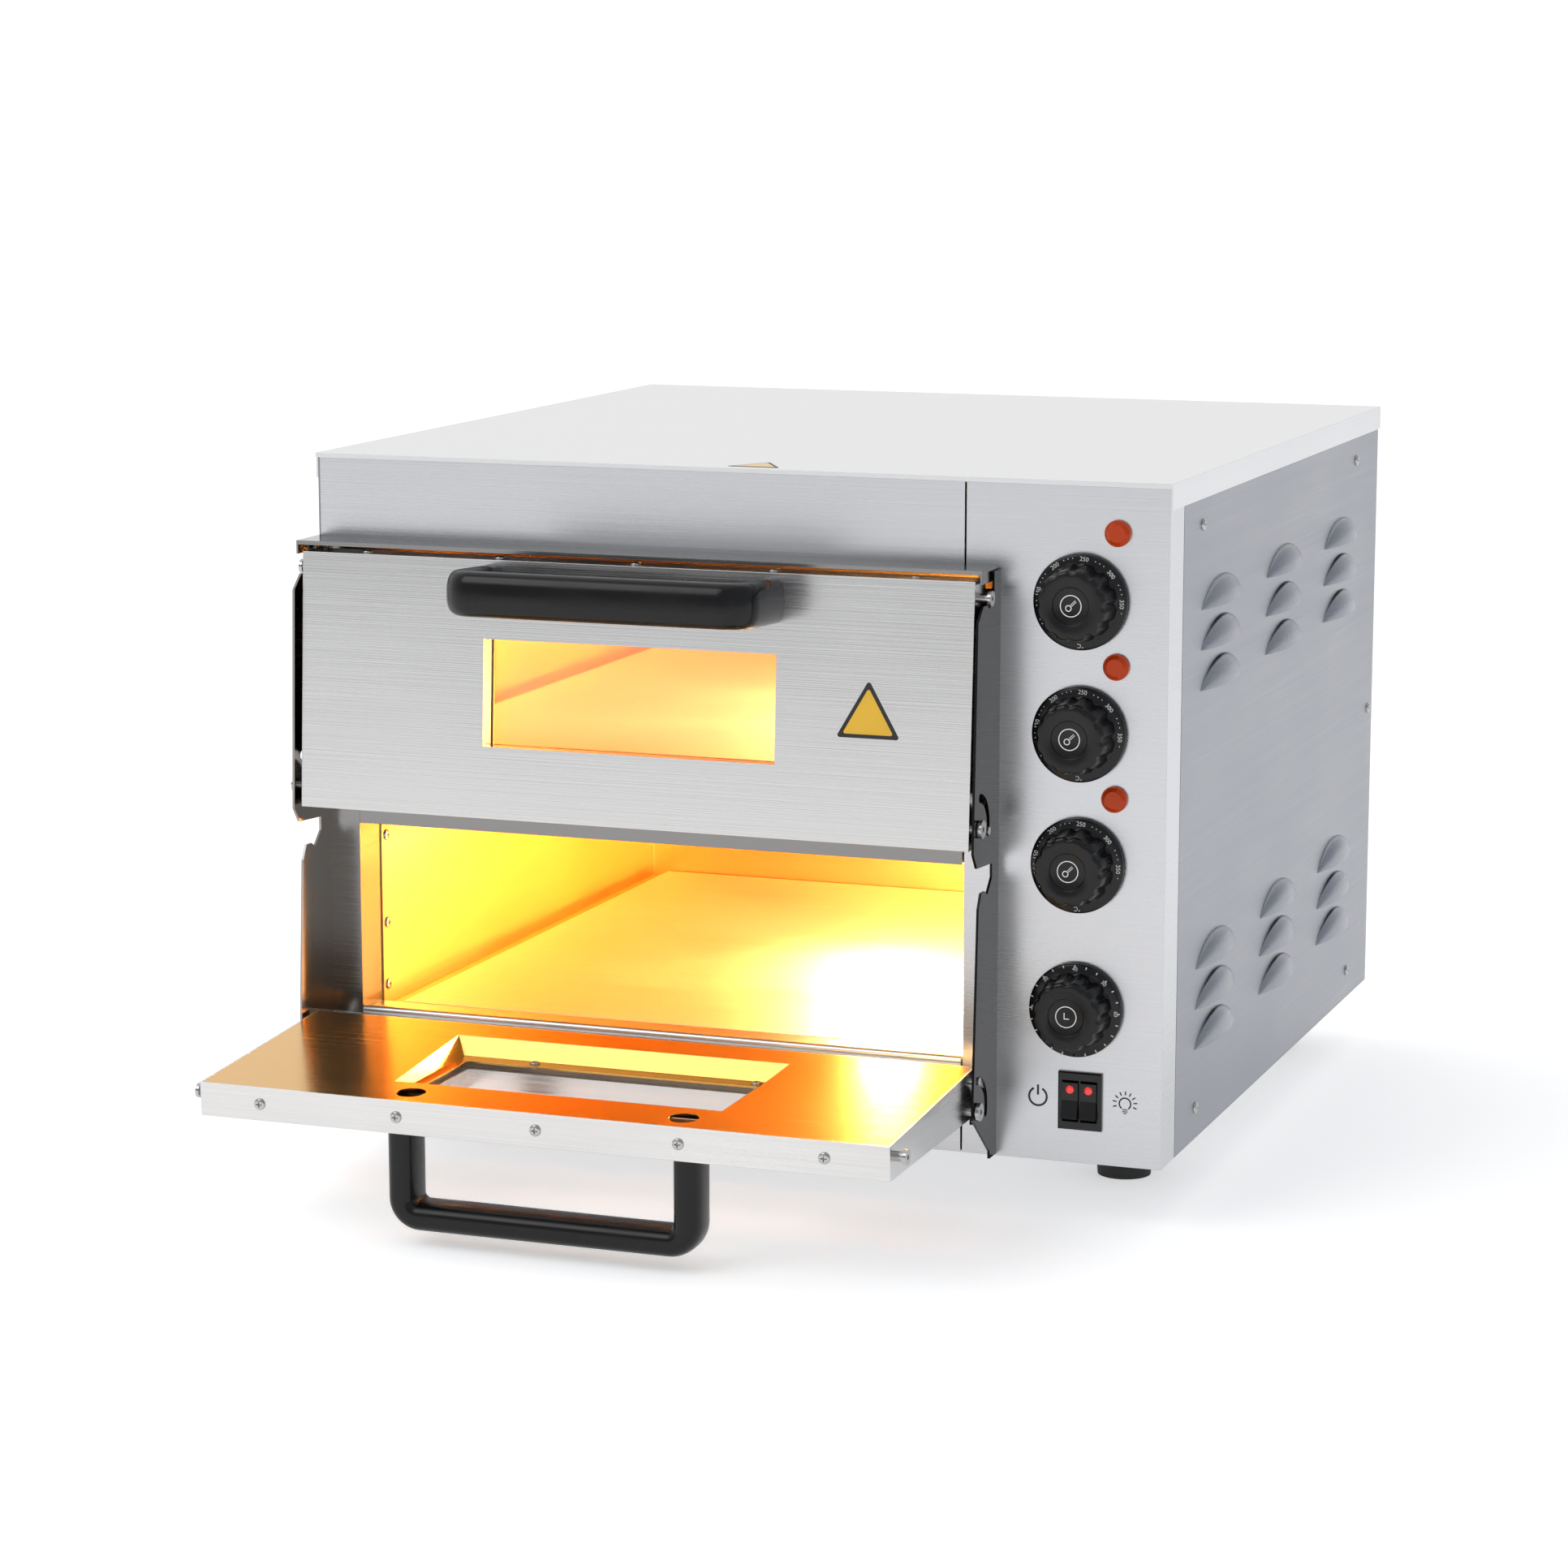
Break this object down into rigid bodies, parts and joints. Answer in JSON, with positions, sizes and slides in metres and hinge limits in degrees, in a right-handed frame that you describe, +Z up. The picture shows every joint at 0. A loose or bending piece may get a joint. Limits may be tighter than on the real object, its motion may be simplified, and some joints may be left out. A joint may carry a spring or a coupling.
{
  "type": "countertop pizza oven",
  "caption": "Double-deck electric countertop pizza oven with drop-down glazed doors, thermostat and timer knobs, rocker switches and louvred side.",
  "frame": {"origin": "on the counter, under the middle of the space that the oven takes with the lower door open", "axes": "+X to the right seen from the front, +Y from front to back, +Z up"},
  "size_m": [0.5662, 0.7682, 0.457],
  "materials": {
    "panel_steel": "fine horizontal brushing",
    "lid_steel": "satin brushed",
    "door_steel": "fine horizontal brushing",
    "polished_steel": "polished",
    "screw_steel": "bright zinc",
    "cavity_steel": "satin aluminised sheet",
    "deck_steel": "matt plate",
    "element_steel": "oxidised sheath",
    "galvanised": "galvanised sheet",
    "black_plastic": "semi-gloss",
    "knob_plastic": "satin",
    "control_plastic": "plain moulding",
    "amber": "translucent amber",
    "rocker_plastic": "semi-gloss",
    "foot_rubber": "matt",
    "gland_nylon": "matt",
    "wool": "mineral wool",
    "socket_ceramic": "glazed white",
    "lens_glass": "clear, lit",
    "door_glass": "clear toughened"
  },
  "bodies": {
    "casing": {"rubber_feet": "foot_rubber", "base_pan": "panel_steel", "left_side_panel": "panel_steel", "right_side_panel": "panel_steel", "rear_panel": "galvanised", "top_cover": "lid_steel", "top_fascia": "panel_steel", "control_panel": "panel_steel", "bay_divider": "galvanised", "left_front_post": "polished_steel", "middle_rail": "panel_steel", "bottom_rail": "panel_steel", "visor": "panel_steel", "left_hinge_bracket": "polished_steel", "right_hinge_bracket": "polished_steel", "bracket_screws": "screw_steel", "casing_screws": "screw_steel", "liner_screws": "screw_steel", "lower_cavity_liner": "cavity_steel", "upper_cavity_liner": "cavity_steel", "lower_deck_plate": "deck_steel", "upper_deck_plate": "deck_steel", "lower_bottom_element": "element_steel", "lower_top_element": "element_steel", "upper_bottom_element": "element_steel", "upper_top_element": "element_steel", "insulation_middle": "wool", "insulation_top": "wool", "insulation_rear": "wool", "cavity_lamp_lenses": "lens_glass", "cavity_lamp_sockets": "socket_ceramic", "thermostat_bodies": "control_plastic", "timer_body": "control_plastic", "signal_lamps": "amber", "switch_housing": "rocker_plastic", "cable_gland": "gland_nylon"},
    "lower_door": {"lower_door_skin": "door_steel", "lower_door_inner_panel": "door_steel", "lower_door_glass": "door_glass", "lower_door_handle": "black_plastic", "lower_door_handle_screws": "screw_steel", "lower_door_edge_screws": "screw_steel", "lower_door_pivot_pins": "screw_steel", "lower_door_guide_pins": "screw_steel", "lower_door_latch_pins": "screw_steel"},
    "upper_door": {"upper_door_skin": "door_steel", "upper_door_inner_panel": "door_steel", "upper_door_glass": "door_glass", "upper_door_handle": "black_plastic", "upper_door_handle_screws": "screw_steel", "upper_door_edge_screws": "screw_steel", "upper_door_pivot_pins": "screw_steel", "upper_door_guide_pins": "screw_steel", "upper_door_latch_pins": "screw_steel"},
    "top_thermostat_knob": {"top_thermostat_knob": "knob_plastic"},
    "middle_thermostat_knob": {"middle_thermostat_knob": "knob_plastic"},
    "bottom_thermostat_knob": {"bottom_thermostat_knob": "knob_plastic"},
    "timer_knob": {"timer_knob": "knob_plastic"},
    "left_rocker": {"left_rocker": "rocker_plastic"},
    "right_rocker": {"right_rocker": "rocker_plastic"}
  },
  "joints": [
    {"name": "upper_door_hinge", "type": "hinge", "parent": "casing", "child": "upper_door", "pos_m": [-0.051, -0.23375, 0.2505], "axis": [1, 0, 0], "range_deg": [0, 93.5]},
    {"name": "lower_door_hinge", "type": "hinge", "parent": "casing", "child": "lower_door", "pos_m": [-0.051, -0.23375, 0.077], "axis": [1, 0, 0], "range_deg": [-93.5, 0]},
    {"name": "top_thermostat_turn", "type": "hinge", "parent": "casing", "child": "top_thermostat_knob", "pos_m": [0.225, -0.20375, 0.385], "axis": [0, 1, 0], "range_deg": [0, 300]},
    {"name": "middle_thermostat_turn", "type": "hinge", "parent": "casing", "child": "middle_thermostat_knob", "pos_m": [0.225, -0.20375, 0.305], "axis": [0, 1, 0], "range_deg": [0, 300]},
    {"name": "bottom_thermostat_turn", "type": "hinge", "parent": "casing", "child": "bottom_thermostat_knob", "pos_m": [0.225, -0.20375, 0.225], "axis": [0, 1, 0], "range_deg": [0, 300]},
    {"name": "timer_turn", "type": "hinge", "parent": "casing", "child": "timer_knob", "pos_m": [0.225, -0.20375, 0.136], "axis": [0, 1, 0], "range_deg": [0, 300]},
    {"name": "left_rocker_tilt", "type": "hinge", "parent": "casing", "child": "left_rocker", "pos_m": [0.2222, -0.19275, 0.079], "axis": [1, 0, 0], "range_deg": [0, 14]},
    {"name": "right_rocker_tilt", "type": "hinge", "parent": "casing", "child": "right_rocker", "pos_m": [0.2338, -0.19275, 0.079], "axis": [1, 0, 0], "range_deg": [0, 14]}
  ]
}
